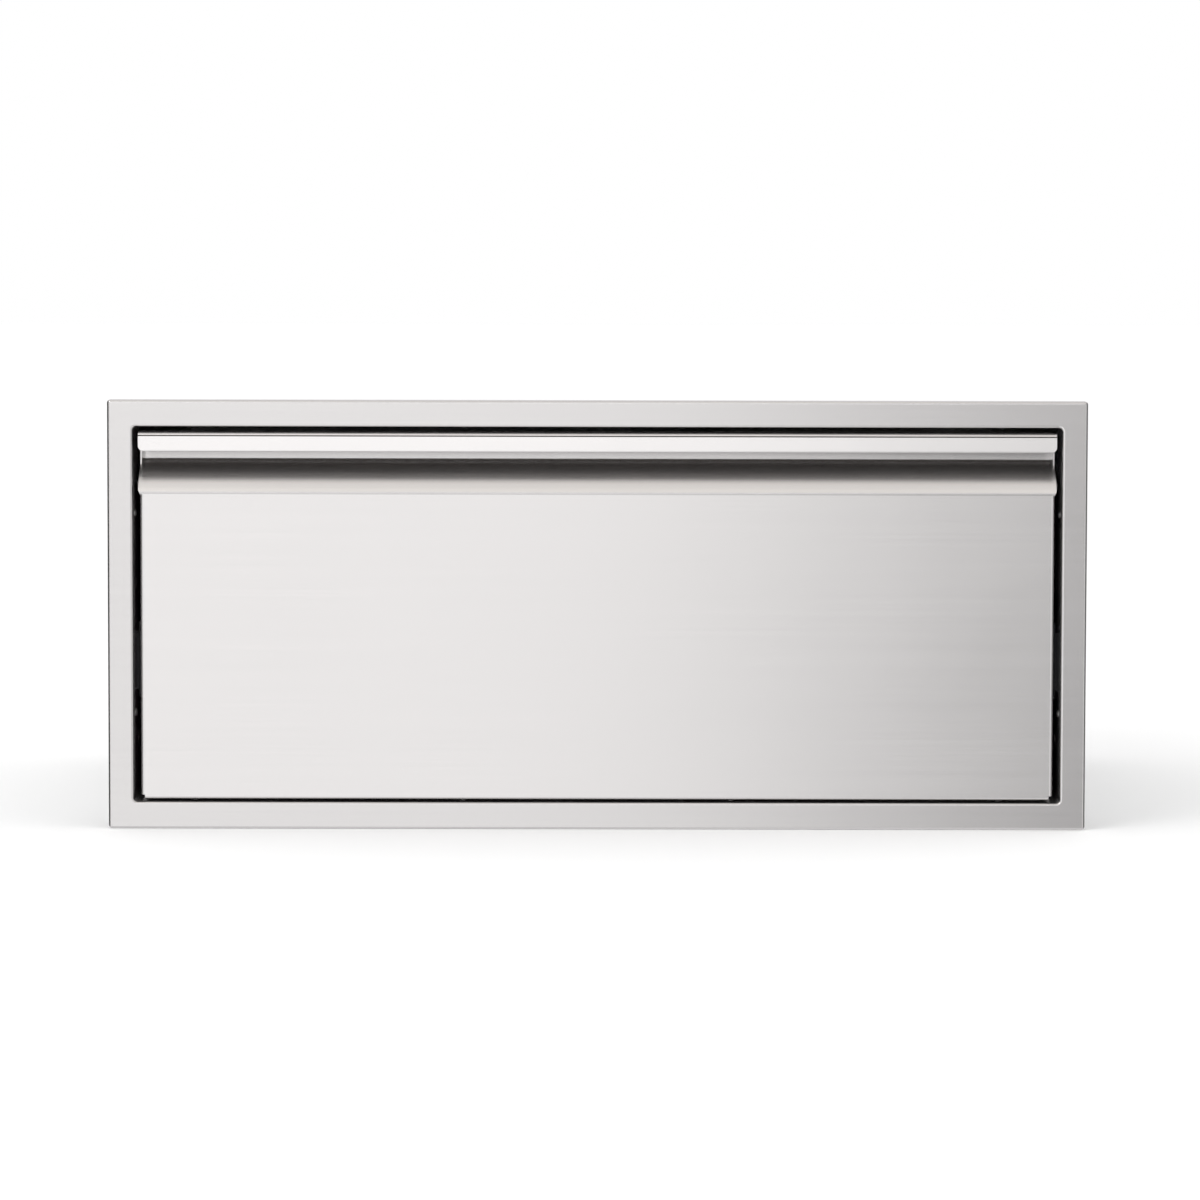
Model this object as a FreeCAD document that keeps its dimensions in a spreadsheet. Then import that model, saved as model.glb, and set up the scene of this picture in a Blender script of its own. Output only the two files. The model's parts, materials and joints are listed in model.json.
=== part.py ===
import FreeCAD, Part
import math
import os
from types import SimpleNamespace

import Sketcher

# Built-in pellet storage drawer of an outdoor kitchen, in millimetres.
# +Z is up, the drawer front faces -Y and opens along -Y, and +X is to the right as seen from the front.
# The origin is the middle of the opening on the plane where the flange meets the wall.

SIZES = {
    # Face flange and jamb
    "flange_width": 762.0,
    "flange_height": 334.3,
    "flange_stand": 12.0,
    "face_width": 19.7,
    "face_height": 20.7,
    "frame_sheet": 1.2,
    "flange_bend": 2.4,
    "flange_corner": 2.5,
    "window_bend": 1.8,
    "window_corner": 3.0,
    "jamb_depth": 50.0,
    "jamb_rivet_setback": 20.0,
    "jamb_rivet_rise": 78.0,
    "jamb_rivet_pitch": 210.0,
    "mount_hole_radius": 2.6,
    "mount_hole_setback": 45.0,
    "mount_hole_spacing": 200.0,
    # Housing behind the wall
    "housing_sheet": 1.0,
    "housing_start": 1.0,
    "housing_depth": 566.0,
    "housing_lap": 15.0,
    "housing_bend": 1.5,
    # Drawer front with its pull
    "front_gap_side": 4.25,
    "front_gap_top": 4.5,
    "front_gap_bottom": 2.2,
    "skin_sheet": 1.2,
    "skin_bend": 3.0,
    "skin_tail": 2.0,
    "panel_inset": 1.5,
    "ramp_end_rise": 3.5,
    "foot_tail": 0.4,
    "lip_height": 15.0,
    "lip_thickness": 2.6,
    "lip_lean": 1.0,
    "lip_round": 1.1,
    "lip_end_round": 4.6,
    "end_trim": 0.05,
    "grip_gap": 31.3,
    "recess_depth": 37.0,
    "recess_back_height": 8.0,
    "recess_bend": 2.0,
    "knee_back": 12.1,
    "knee_rise": 21.8,
    "knee_bend": 40.0,
    "cap_sheet": 1.2,
    "cap_setback": 22.0,
    "cap_corner_clearance": 0.5,
    "inner_sheet": 1.0,
    "inner_flange": 12.0,
    # Drawer box
    "box_sheet": 1.0,
    "box_bend": 2.0,
    "box_floor_gap": 9.0,
    "box_height": 232.0,
    "box_hem": 8.0,
    "box_back_gap": 14.0,
    "box_strip": 12.0,
    "box_strip_top_gap": 3.0,
    "box_rivet_top_drop": 20.0,
    "box_rivet_bottom_rise": 20.0,
    "front_screw_reach": 280.0,
    "front_screw_low": 100.0,
    "front_screw_high": 60.0,
    # Ball slides
    "slide_drop": 40.0,
    "slide_height": 45.7,
    "slide_thickness": 12.7,
    "slide_setback": 4.0,
    "slide_end_gap": 16.0,
    "rail_sheet": 1.2,
    "rail_bend": 1.6,
    "rail_web_gap": 2.0,
    "cabinet_flange_gap": 3.0,
    "middle_flange_gap": 2.0,
    "drawer_flange_reach": 7.0,
    "bumper_length": 7.7,
    "bumper_clearance": 0.3,
    "bumper_height": 28.0,
    "strip_thickness": 2.0,
    "strip_height": 60.0,
    "strip_margin": 10.0,
    "ball_diameter": 3.2,
    "ball_clearance": 0.3,
    "ball_pitch": 22.0,
    "cage_length": 200.0,
    "cage_sheet": 0.8,
    "cage_side": 0.8,
    "cage_hole_clearance": 0.1,
    "outer_ball_reach": 6.25,
    "inner_ball_reach": 4.5,
    # Release levers
    "lever_length": 64.0,
    "lever_height": 7.0,
    "lever_thickness": 2.0,
    "lever_gap": 0.3,
    "lever_setback": 330.0,
    "pivot_radius": 1.5,
    "pivot_clearance": 0.05,
    "pivot_head_radius": 2.6,
    "pivot_head_height": 0.8,
    # Fasteners
    "rivet_radius": 1.6,
    "rivet_head_radius": 3.0,
    "rivet_head_height": 1.2,
    "rivet_head_round": 1.0,
    "screw_radius": 2.0,
    "screw_head_radius": 3.6,
    "screw_head_height": 1.5,
    "screw_head_round": 1.0,
    "screw_tip": 2.0,
    "rail_screw_end": 45.0,
    "access_hole_radius": 5.0,
    "fastener_clearance": 0.05,
}

JAMB_RIVETS_PER_EDGE = 4
RAIL_SCREWS_PER_RAIL = 3
SIDES = (("left", -1), ("right", 1))
FULL_TURN = 2 * math.pi

doc = FreeCAD.newDocument("storage_drawer")
sheet = doc.addObject("Spreadsheet::Sheet", "dims")
for row, (size_name, size_value) in enumerate(SIZES.items(), start=1):
    sheet.set(f"A{row}", size_name)
    sheet.set(f"B{row}", str(size_value))
    sheet.setAlias(f"B{row}", size_name)
doc.recompute()


class Size:
    """A length together with the sheet formula that gives it."""

    def __init__(self, value, formula):
        self.value = value
        self.formula = formula

    def __add__(self, other):
        other = as_size(other)
        return Size(self.value + other.value, f"({self.formula} + {other.formula})")

    def __sub__(self, other):
        other = as_size(other)
        return Size(self.value - other.value, f"({self.formula} - {other.formula})")

    def __mul__(self, other):
        other = as_size(other)
        return Size(self.value * other.value, f"({self.formula} * {other.formula})")

    def __truediv__(self, other):
        other = as_size(other)
        return Size(self.value / other.value, f"({self.formula} / {other.formula})")

    def __neg__(self):
        return Size(-self.value, f"(-1 * {self.formula})")

    __radd__ = __add__
    __rmul__ = __mul__


def as_size(number):
    return number if isinstance(number, Size) else Size(float(number), str(number))


def square_root(area):
    return Size(math.sqrt(area.value), f"sqrt({area.formula})")


def vector(x, y, z):
    return FreeCAD.Vector(*(as_size(part).value for part in (x, y, z)))


dim = SimpleNamespace(**{name: Size(value, f"dims.{name}") for name, value in SIZES.items()})

# Places that several pieces share
face_y = -dim.flange_stand
window_x = dim.flange_width / 2 - dim.face_width
window_z = dim.flange_height / 2 - dim.face_height
jamb_end_y = face_y + dim.jamb_depth
jamb_rivet_y = face_y + dim.jamb_rivet_setback
mount_hole_y = face_y + dim.mount_hole_setback
housing_x = window_x + dim.frame_sheet
housing_z = window_z + dim.frame_sheet
housing_length = dim.housing_depth - dim.housing_start

front_right = window_x - dim.front_gap_side
front_left = -front_right
panel_right = front_right - dim.panel_inset
panel_left = -panel_right
front_top = window_z - dim.front_gap_top
front_bottom = dim.front_gap_bottom - window_z
lip_bottom = front_top - dim.lip_height
ramp_bottom = lip_bottom - dim.grip_gap
ramp_top = lip_bottom - dim.recess_back_height
panel_top = ramp_bottom - dim.skin_tail
recess_y = face_y + dim.recess_depth
knee_y = face_y + dim.knee_back
knee_z = ramp_bottom + dim.knee_rise
skin_back_y = recess_y + dim.skin_sheet
inner_back_y = skin_back_y + dim.inner_sheet
front_screw_places = [
    (column * dim.front_screw_reach, height)
    for column in (-1, 0, 1)
    for height in (-dim.front_screw_low, dim.front_screw_high)
]

slide_x = housing_x - dim.strip_thickness
box_x = slide_x - dim.slide_thickness
box_bottom = dim.box_floor_gap - window_z
box_top = box_bottom + dim.box_height
box_front_y = inner_back_y
shell_start_y = box_front_y + dim.box_sheet
box_back_y = dim.housing_depth - dim.box_back_gap
shell_end_y = box_back_y - dim.box_sheet
box_rivet_heights = (box_bottom + dim.box_rivet_bottom_rise, box_top - dim.box_rivet_top_drop)
box_rivet_ys = (shell_start_y + dim.box_strip / 2, shell_end_y - dim.box_strip / 2)

slide_y = jamb_end_y + dim.slide_setback
slide_length = dim.housing_depth - dim.slide_end_gap - slide_y
moving_rail_length = slide_length - dim.bumper_length - dim.bumper_clearance
cabinet_rail_z = dim.slide_height / 2
ball_room = dim.ball_diameter + 2 * dim.ball_clearance
middle_rail_z = cabinet_rail_z - dim.rail_sheet - ball_room
drawer_rail_z = middle_rail_z - dim.rail_sheet - ball_room
cabinet_web_u = dim.slide_thickness - dim.rail_sheet
middle_web_u = cabinet_web_u - dim.rail_web_gap
cage_y = slide_y + moving_rail_length / 2
ball_radius = dim.ball_diameter / 2
lever_y = slide_y + dim.lever_setback
lever_u = dim.rail_sheet + dim.lever_gap
pivot_seat_u = lever_u + dim.lever_thickness + dim.lever_gap
rail_screw_pitch = (moving_rail_length - 2 * dim.rail_screw_end) / (RAIL_SCREWS_PER_RAIL - 1)
rail_screw_ys = [
    slide_y + dim.rail_screw_end + rail_screw_pitch * number for number in range(RAIL_SCREWS_PER_RAIL)
]
rivet_hole = dim.rivet_radius + dim.fastener_clearance
screw_hole = dim.screw_radius + dim.fastener_clearance
jamb_rivet_xs = [
    dim.jamb_rivet_pitch * (number - (JAMB_RIVETS_PER_EDGE - 1) / 2) for number in range(JAMB_RIVETS_PER_EDGE)
]

pieces = []


def new_body(label):
    body = doc.addObject("PartDesign::Body", label)
    body.Label = label
    return body


def new_piece(label):
    body = new_body(label)
    pieces.append(body)
    return body


def new_sketch(body, name, role, offset=None):
    """Start a sketch on one of the body's own origin planes, moved along the plane's normal."""
    plane = next(feature for feature in body.Origin.OriginFeatures if feature.Role == role)
    sketch = body.newObject("Sketcher::SketchObject", f"{body.Name}_{name}")
    sketch.AttachmentSupport = [(plane, "")]
    sketch.MapMode = "FlatFace"
    if offset is not None:
        sketch.AttachmentOffset = FreeCAD.Placement(vector(0, 0, offset), FreeCAD.Rotation())
        sketch.setExpression("AttachmentOffset.Base.z", offset.formula)
    return sketch


def front_sketch(body, name, y):
    """A sketch in X and Z at depth y; its normal points to the front, along -Y."""
    return new_sketch(body, name, "XZ_Plane", -as_size(y))


def side_sketch(body, name, x):
    """A sketch in Y and Z at x; its normal points along +X."""
    return new_sketch(body, name, "YZ_Plane", as_size(x))


def plan_sketch(body, name, z):
    """A sketch in X and Y at height z; its normal points up."""
    return new_sketch(body, name, "XY_Plane", as_size(z))


def tie(sketch, constraint, size):
    index = sketch.addConstraint(constraint)
    sketch.setExpression(f"Constraints[{index}]", size.formula)


def tie_point(sketch, geometry, point, x, y):
    tie(sketch, Sketcher.Constraint("DistanceX", geometry, point, x.value), x)
    tie(sketch, Sketcher.Constraint("DistanceY", geometry, point, y.value), y)


def corner_arc(before, corner, after, radius):
    """Where an arc of this radius meets the two edges of a corner, and the arc itself."""
    to_before = (before - corner).normalize()
    to_after = (after - corner).normalize()
    half_angle = to_before.getAngle(to_after) / 2
    reach = radius / math.tan(half_angle)
    entry = corner + to_before * reach
    leave = corner + to_after * reach
    centre = corner + (to_before + to_after).normalize() * (radius / math.sin(half_angle))
    turns_left = to_after.cross(to_before).z > 0
    first, last = (entry, leave) if turns_left else (leave, entry)
    start = math.atan2(first.y - centre.y, first.x - centre.x)
    end = math.atan2(last.y - centre.y, last.x - centre.x)
    if end < start:
        end += FULL_TURN
    circle = Part.Circle(centre, FreeCAD.Vector(0, 0, 1), radius)
    return entry, leave, Part.ArcOfCircle(circle, start, end), turns_left


def add_outline(sketch, corners):
    """Draw a closed outline through corners of (x, y) or, where it is rounded, (x, y, radius)."""
    corners = [tuple(as_size(part) for part in corner) for corner in corners]
    points = [vector(corner[0], corner[1], 0) for corner in corners]
    count = len(corners)
    entries = list(points)
    leaves = list(points)
    arcs = {}
    for number, corner in enumerate(corners):
        if len(corner) == 3:
            before = points[number - 1]
            after = points[(number + 1) % count]
            entry, leave, arc, turns_left = corner_arc(before, points[number], after, corner[2].value)
            entries[number] = entry
            leaves[number] = leave
            arcs[number] = (arc, turns_left)
    lines = []
    for number in range(count):
        segment = Part.LineSegment(leaves[number], entries[(number + 1) % count])
        lines.append(sketch.addGeometry(segment, False))
    for number, corner in enumerate(corners):
        line_in = lines[number - 1]
        line_out = lines[number]
        if number not in arcs:
            sketch.addConstraint(Sketcher.Constraint("Coincident", line_in, 2, line_out, 1))
            tie_point(sketch, line_out, 1, corner[0], corner[1])
            continue
        arc, turns_left = arcs[number]
        arc_index = sketch.addGeometry(arc, False)
        arc_in, arc_out = (1, 2) if turns_left else (2, 1)
        mark = sketch.addGeometry(Part.Point(points[number]), True)
        sketch.addConstraint([
            Sketcher.Constraint("Tangent", line_in, 2, arc_index, arc_in),
            Sketcher.Constraint("Tangent", arc_index, arc_out, line_out, 1),
            Sketcher.Constraint("PointOnObject", mark, 1, line_in),
            Sketcher.Constraint("PointOnObject", mark, 1, line_out),
        ])
        tie(sketch, Sketcher.Constraint("Radius", arc_index, corner[2].value), corner[2])
        tie_point(sketch, mark, 1, corner[0], corner[1])


def add_rectangle(sketch, left, right, bottom, top, radius=None):
    corners = [(left, bottom), (right, bottom), (right, top), (left, top)]
    if radius is not None:
        corners = [corner + (radius,) for corner in corners]
    add_outline(sketch, corners)


def add_circles(sketch, centres, radius):
    for x, y in centres:
        circle = Part.Circle(vector(x, y, 0), FreeCAD.Vector(0, 0, 1), radius.value)
        index = sketch.addGeometry(circle, False)
        tie(sketch, Sketcher.Constraint("Radius", index, radius.value), radius)
        tie_point(sketch, index, 3, as_size(x), as_size(y))


def pad(body, sketch, length, backwards=False):
    feature = body.newObject("PartDesign::Pad", f"{sketch.Name}_pad")
    feature.Profile = sketch
    feature.setExpression("Length", as_size(length).formula)
    feature.Reversed = backwards


def bore(body, name, role, centres, radius):
    """Drill round holes right through the body, both ways from the middle plane."""
    sketch = new_sketch(body, name, role)
    add_circles(sketch, centres, radius)
    feature = body.newObject("PartDesign::Pocket", f"{sketch.Name}_pocket")
    feature.Profile = sketch
    feature.Type = "ThroughAll"
    feature.SideType = "Symmetric"


def side_slab(body, name, sign, near_x, thickness, corners, holes=(), hole_radius=None):
    """A flat sheet upright along Y: near_x is the face towards the middle, and it thickens outwards."""
    sketch = side_sketch(body, name, sign * near_x)
    add_outline(sketch, corners)
    if holes:
        add_circles(sketch, holes, hole_radius)
    pad(body, sketch, thickness, backwards=sign < 0)


def round_front_edges(body, name, half_width, half_height, corner, radius):
    """Round the edges of the face plane that lie on this rectangle with rounded corners."""
    doc.recompute()
    chosen = []
    for number, edge in enumerate(body.Shape.Edges, start=1):
        box = edge.BoundBox
        on_face = abs(box.YMin - face_y.value) < 1e-4 and abs(box.YMax - face_y.value) < 1e-4
        inset_x = half_width.value - abs(edge.CenterOfMass.x)
        inset_z = half_height.value - abs(edge.CenterOfMass.z)
        on_side = abs(inset_x) < 1e-4 or abs(inset_z) < 1e-4
        on_corner = 0 < inset_x < corner.value and 0 < inset_z < corner.value
        if on_face and (on_side or on_corner):
            chosen.append(f"Edge{number}")
    base = body.Tip
    feature = body.newObject("PartDesign::Fillet", f"{body.Name}_{name}")
    feature.Base = (base, chosen)
    feature.setExpression("Radius", radius.formula)


def make_face_frame():
    """Flange with a bent-back outer edge and a jamb that is bent in around the opening."""
    body = new_piece("face_frame")
    outer_x = dim.flange_width / 2
    outer_z = dim.flange_height / 2
    flange = front_sketch(body, "flange", face_y)
    add_rectangle(flange, -outer_x, outer_x, -outer_z, outer_z, dim.flange_corner)
    add_rectangle(flange, -window_x, window_x, -window_z, window_z, dim.window_corner)
    pad(body, flange, dim.frame_sheet, backwards=True)
    inset_x = outer_x - dim.frame_sheet
    inset_z = outer_z - dim.frame_sheet
    rim = front_sketch(body, "rim", face_y)
    add_rectangle(rim, -outer_x, outer_x, -outer_z, outer_z, dim.flange_corner)
    add_rectangle(rim, -inset_x, inset_x, -inset_z, inset_z, dim.flange_corner - dim.frame_sheet)
    pad(body, rim, dim.flange_stand, backwards=True)
    jamb = front_sketch(body, "jamb", face_y)
    add_rectangle(jamb, -housing_x, housing_x, -housing_z, housing_z, dim.window_corner + dim.frame_sheet)
    add_rectangle(jamb, -window_x, window_x, -window_z, window_z, dim.window_corner)
    pad(body, jamb, dim.jamb_depth, backwards=True)
    bore(body, "side_rivets", "YZ_Plane", side_rivet_places(), rivet_hole)
    bore(body, "edge_rivets", "XY_Plane", edge_rivet_places(), rivet_hole)
    bore(body, "mount_holes", "YZ_Plane", mount_hole_places(), dim.mount_hole_radius)
    round_front_edges(body, "outer_bend", outer_x, outer_z, dim.flange_corner, dim.flange_bend)
    round_front_edges(body, "window_bend", window_x, window_z, dim.window_corner, dim.window_bend)


def side_rivet_places():
    return [(jamb_rivet_y, sign * dim.jamb_rivet_rise) for sign in (-1, 1)]


def edge_rivet_places():
    return [(x, jamb_rivet_y) for x in jamb_rivet_xs]


def mount_hole_places():
    return [(mount_hole_y, sign * dim.mount_hole_spacing / 2) for sign in (-1, 1)]


def make_housing():
    """Five sheets that close in the space behind the wall."""
    outside_x = housing_x + 2 * dim.housing_sheet
    outside_z = housing_z + dim.housing_sheet
    for side, sign in SIDES:
        body = new_piece(f"housing_{side}_side")
        corners = [
            (dim.housing_start, -housing_z), (dim.housing_depth, -housing_z),
            (dim.housing_depth, housing_z), (dim.housing_start, housing_z),
        ]
        side_slab(body, "sheet", sign, housing_x, dim.housing_sheet, corners, side_rivet_places(), rivet_hole)
        bore(body, "mount_holes", "YZ_Plane", mount_hole_places(), dim.mount_hole_radius)
    for level, sign in (("bottom", -1), ("top", 1)):
        body = new_piece(f"housing_{level}")
        lap_x = outside_x - dim.housing_sheet
        lap_z = housing_z - dim.housing_lap
        profile = front_sketch(body, "profile", dim.housing_start)
        add_outline(profile, [
            (-outside_x, sign * outside_z, dim.housing_bend), (outside_x, sign * outside_z, dim.housing_bend),
            (outside_x, sign * lap_z), (lap_x, sign * lap_z),
            (lap_x, sign * housing_z), (-lap_x, sign * housing_z),
            (-lap_x, sign * lap_z), (-outside_x, sign * lap_z),
        ])
        pad(body, profile, housing_length, backwards=True)
        bore(body, "edge_rivets", "XY_Plane", edge_rivet_places(), rivet_hole)
    body = new_piece("housing_back")
    cap_x = outside_x + dim.housing_sheet
    cap_z = outside_z + dim.housing_sheet
    plate = front_sketch(body, "plate", dim.housing_depth)
    add_rectangle(plate, -cap_x, cap_x, -cap_z, cap_z)
    pad(body, plate, dim.housing_sheet, backwards=True)
    rim = front_sketch(body, "rim", dim.housing_depth)
    add_rectangle(rim, -cap_x, cap_x, -cap_z, cap_z)
    add_rectangle(rim, -outside_x, outside_x, -outside_z, outside_z)
    pad(body, rim, dim.housing_lap)


def ramp_corners(depth):
    """Low corner height, rounded knee and high corner height of the ramp, at a depth below its outer face."""
    upper_run = dim.recess_depth - dim.knee_back
    upper_rise = dim.grip_gap - dim.recess_back_height - dim.knee_rise
    lower_leg = square_root(dim.knee_back * dim.knee_back + dim.knee_rise * dim.knee_rise)
    upper_leg = square_root(upper_run * upper_run + upper_rise * upper_rise)
    half_turn = (dim.knee_rise * upper_run - dim.knee_back * upper_rise) / (
        lower_leg * upper_leg + dim.knee_back * upper_run + dim.knee_rise * upper_rise
    )
    low_z = ramp_bottom - depth * dim.knee_back / (lower_leg + dim.knee_rise)
    high_z = ramp_top - depth * upper_run / (upper_leg + upper_rise)
    knee = (
        knee_y + depth * (dim.knee_rise - half_turn * dim.knee_back) / lower_leg,
        knee_z - depth * (dim.knee_back + half_turn * dim.knee_rise) / lower_leg,
        dim.knee_bend - depth,
    )
    return low_z, knee, high_z


def make_front_skin():
    """One folded sheet: pull lip that leans back, finger recess, rounded ramp and panel with bent edges."""
    body = new_piece("drawer_front_skin")
    width = front_right - front_left
    under_low_z, under_knee, under_high_z = ramp_corners(dim.skin_sheet)
    lip_top_y = face_y + dim.lip_lean
    lip_back_y = face_y + dim.lip_thickness
    inside_bend = dim.skin_bend - dim.skin_sheet
    sheet_y = face_y + dim.skin_sheet
    pull = side_sketch(body, "pull", front_left)
    add_outline(pull, [
        (face_y, lip_bottom, dim.lip_round), (lip_top_y, front_top, dim.skin_bend),
        (skin_back_y, front_top, dim.skin_bend), (skin_back_y, under_high_z, dim.skin_bend),
        under_knee, (sheet_y, under_low_z), (sheet_y, panel_top),
        (face_y, panel_top), (face_y, ramp_bottom, dim.skin_bend), (knee_y, knee_z, dim.knee_bend),
        (recess_y, ramp_top, dim.recess_bend), (recess_y, front_top - dim.skin_sheet, inside_bend),
        (lip_back_y + dim.lip_lean, front_top - dim.skin_sheet, inside_bend),
        (lip_back_y, lip_bottom, dim.lip_round),
    ])
    pad(body, pull, width)
    inner_left = panel_left + dim.skin_sheet
    inner_right = panel_right - dim.skin_sheet
    panel_bottom = front_bottom + dim.skin_bend + dim.foot_tail
    panel = plan_sketch(body, "panel", panel_bottom)
    add_outline(panel, [
        (panel_left, skin_back_y), (panel_left, face_y, dim.skin_bend),
        (panel_right, face_y, dim.skin_bend), (panel_right, skin_back_y),
        (inner_right, skin_back_y), (inner_right, sheet_y, inside_bend),
        (inner_left, sheet_y, inside_bend), (inner_left, skin_back_y),
    ])
    pad(body, panel, panel_top - panel_bottom)
    foot = side_sketch(body, "foot", panel_left + dim.skin_bend)
    add_outline(foot, [
        (face_y, panel_bottom), (face_y, front_bottom, dim.skin_bend), (skin_back_y, front_bottom),
        (skin_back_y, front_bottom + dim.skin_sheet), (sheet_y, front_bottom + dim.skin_sheet, inside_bend),
        (sheet_y, panel_bottom),
    ])
    pad(body, foot, panel_right - panel_left - 2 * dim.skin_bend)
    cheek_y = face_y + dim.skin_bend
    middle_low_z, middle_knee, _ = ramp_corners(dim.skin_sheet / 2)
    middle_rise = (dim.skin_bend - dim.skin_sheet / 2) * dim.knee_rise / dim.knee_back
    for name, x in (("left_cheek", panel_left), ("right_cheek", inner_right)):
        cheek = side_sketch(body, name, x)
        add_outline(cheek, [
            (cheek_y, panel_top), (skin_back_y, panel_top), (skin_back_y, under_high_z),
            middle_knee, (cheek_y, middle_low_z + middle_rise),
        ])
        pad(body, cheek, dim.skin_sheet)
    reach = dim.lip_end_round + dim.end_trim
    for side, sign in SIDES:
        end_x = sign * front_right
        cut_end(body, f"lip_{side}_end", end_x, lip_bottom, sign, [
            (end_x - sign * reach, lip_bottom),
            (end_x, lip_bottom, dim.lip_end_round),
            (end_x, lip_bottom + reach),
        ])
        cut_end(body, f"ramp_{side}_end", end_x, panel_top, sign, [
            (sign * panel_right, panel_top), (end_x, panel_top + dim.ramp_end_rise),
        ])


def cut_end(body, name, x, z, sign, line):
    """Cut the lower end corner of the lip or the ramp away below a line, seen from the front."""
    outside_x = x + sign * dim.end_trim
    below_z = z - dim.end_trim
    cut = front_sketch(body, name, face_y)
    add_outline(cut, line + [(outside_x, line[-1][1]), (outside_x, below_z), (line[0][0], below_z)])
    feature = body.newObject("PartDesign::Pocket", f"{cut.Name}_pocket")
    feature.Profile = cut
    feature.setExpression("Length", (dim.lip_thickness + dim.lip_lean).formula)


def make_end_caps():
    """Plates that close the two ends of the finger recess, set back from the lip."""
    cap_y = face_y + dim.cap_setback
    cap_top = front_top - dim.skin_sheet
    cap_corner = dim.recess_bend + dim.cap_corner_clearance
    behind_y = recess_y + dim.end_trim
    wall_z = ramp_top + 2 * cap_corner
    for side, near_x in (("left", front_left), ("right", front_right - dim.cap_sheet)):
        body = new_piece(f"{side}_handle_end_cap")
        plate = side_sketch(body, "plate", near_x)
        add_outline(plate, [
            (cap_y, ramp_bottom), (recess_y, ramp_bottom), (recess_y, cap_top, cap_corner), (cap_y, cap_top),
        ])
        pad(body, plate, dim.cap_sheet)
        under_ramp = side_sketch(body, "under_ramp", near_x)
        add_outline(under_ramp, [
            (face_y, ramp_bottom), (knee_y, knee_z, dim.knee_bend), (recess_y, ramp_top, cap_corner),
            (recess_y, wall_z), (behind_y, wall_z), (behind_y, ramp_bottom - dim.end_trim),
            (face_y, ramp_bottom - dim.end_trim),
        ])
        feature = body.newObject("PartDesign::Pocket", f"{under_ramp.Name}_pocket")
        feature.Profile = under_ramp
        feature.Reversed = True
        feature.setExpression("Length", dim.cap_sheet.formula)


def make_inner_panel():
    """Sheet that closes the back of the hollow front, with side flanges inside the skin."""
    body = new_piece("front_inner_panel")
    plate = front_sketch(body, "plate", skin_back_y)
    add_rectangle(plate, front_left, front_right, front_bottom, front_top)
    add_circles(plate, front_screw_places, screw_hole)
    pad(body, plate, dim.inner_sheet, backwards=True)
    flange_bottom = front_bottom + dim.skin_bend
    flange_front = skin_back_y - dim.inner_flange
    for name, x in (
        ("left_flange", panel_left + dim.skin_sheet),
        ("right_flange", panel_right - dim.skin_sheet - dim.inner_sheet),
    ):
        flange = plan_sketch(body, name, flange_bottom)
        add_rectangle(flange, x, x + dim.inner_sheet, flange_front, skin_back_y)
        pad(body, flange, panel_top - flange_bottom)


def make_drawer_box():
    """Folded shell of floor and sides, and two end walls, each joined to it by a U-shaped strip inside."""
    shell = new_piece("drawer_box_shell")
    inner_x = box_x - dim.box_sheet
    inner_bottom = box_bottom + dim.box_sheet
    hem_x = box_x - dim.box_hem
    hem_z = box_top - dim.box_sheet
    inside_bend = dim.box_bend - dim.box_sheet
    profile = front_sketch(shell, "profile", shell_start_y)
    add_outline(profile, [
        (-box_x, box_bottom, dim.box_bend), (box_x, box_bottom, dim.box_bend),
        (box_x, box_top, dim.box_bend), (hem_x, box_top), (hem_x, hem_z),
        (inner_x, hem_z, inside_bend), (inner_x, inner_bottom, inside_bend),
        (-inner_x, inner_bottom, inside_bend), (-inner_x, hem_z, inside_bend),
        (-hem_x, hem_z), (-hem_x, box_top), (-box_x, box_top, dim.box_bend),
    ])
    pad(shell, profile, shell_end_y - shell_start_y, backwards=True)
    bore(shell, "rivet_holes", "YZ_Plane", box_rivet_places(), rivet_hole)
    rail_holes = [(y, -dim.slide_drop) for y in rail_screw_ys]
    bore(shell, "rail_holes", "YZ_Plane", rail_holes, screw_hole)
    for end, wall_y, strip_y, holes in (
        ("front", box_front_y, shell_start_y, front_screw_places),
        ("back", shell_end_y, shell_end_y - dim.box_strip, []),
    ):
        wall = new_piece(f"drawer_box_{end}")
        plate = front_sketch(wall, "plate", wall_y)
        add_rectangle(plate, -box_x, box_x, box_bottom, box_top)
        add_circles(plate, holes, screw_hole)
        pad(wall, plate, dim.box_sheet, backwards=True)
        strip = new_piece(f"drawer_box_{end}_strip")
        strip_top = hem_z - dim.box_strip_top_gap
        strip_x = inner_x - dim.box_sheet
        strip_bottom = inner_bottom + dim.box_sheet
        outline = front_sketch(strip, "outline", strip_y)
        add_outline(outline, [
            (-inner_x, inner_bottom, dim.box_bend), (inner_x, inner_bottom, dim.box_bend),
            (inner_x, strip_top), (strip_x, strip_top), (strip_x, strip_bottom, inside_bend),
            (-strip_x, strip_bottom, inside_bend), (-strip_x, strip_top), (-inner_x, strip_top),
        ])
        pad(strip, outline, dim.box_strip, backwards=True)
        bore(strip, "rivet_holes", "YZ_Plane", box_rivet_places(), rivet_hole)


def box_rivet_places():
    return [(y, z) for y in box_rivet_ys for z in box_rivet_heights]


def set_slide_height(piece):
    piece.setExpression("Placement.Base.z", (-dim.slide_drop).formula)


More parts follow.
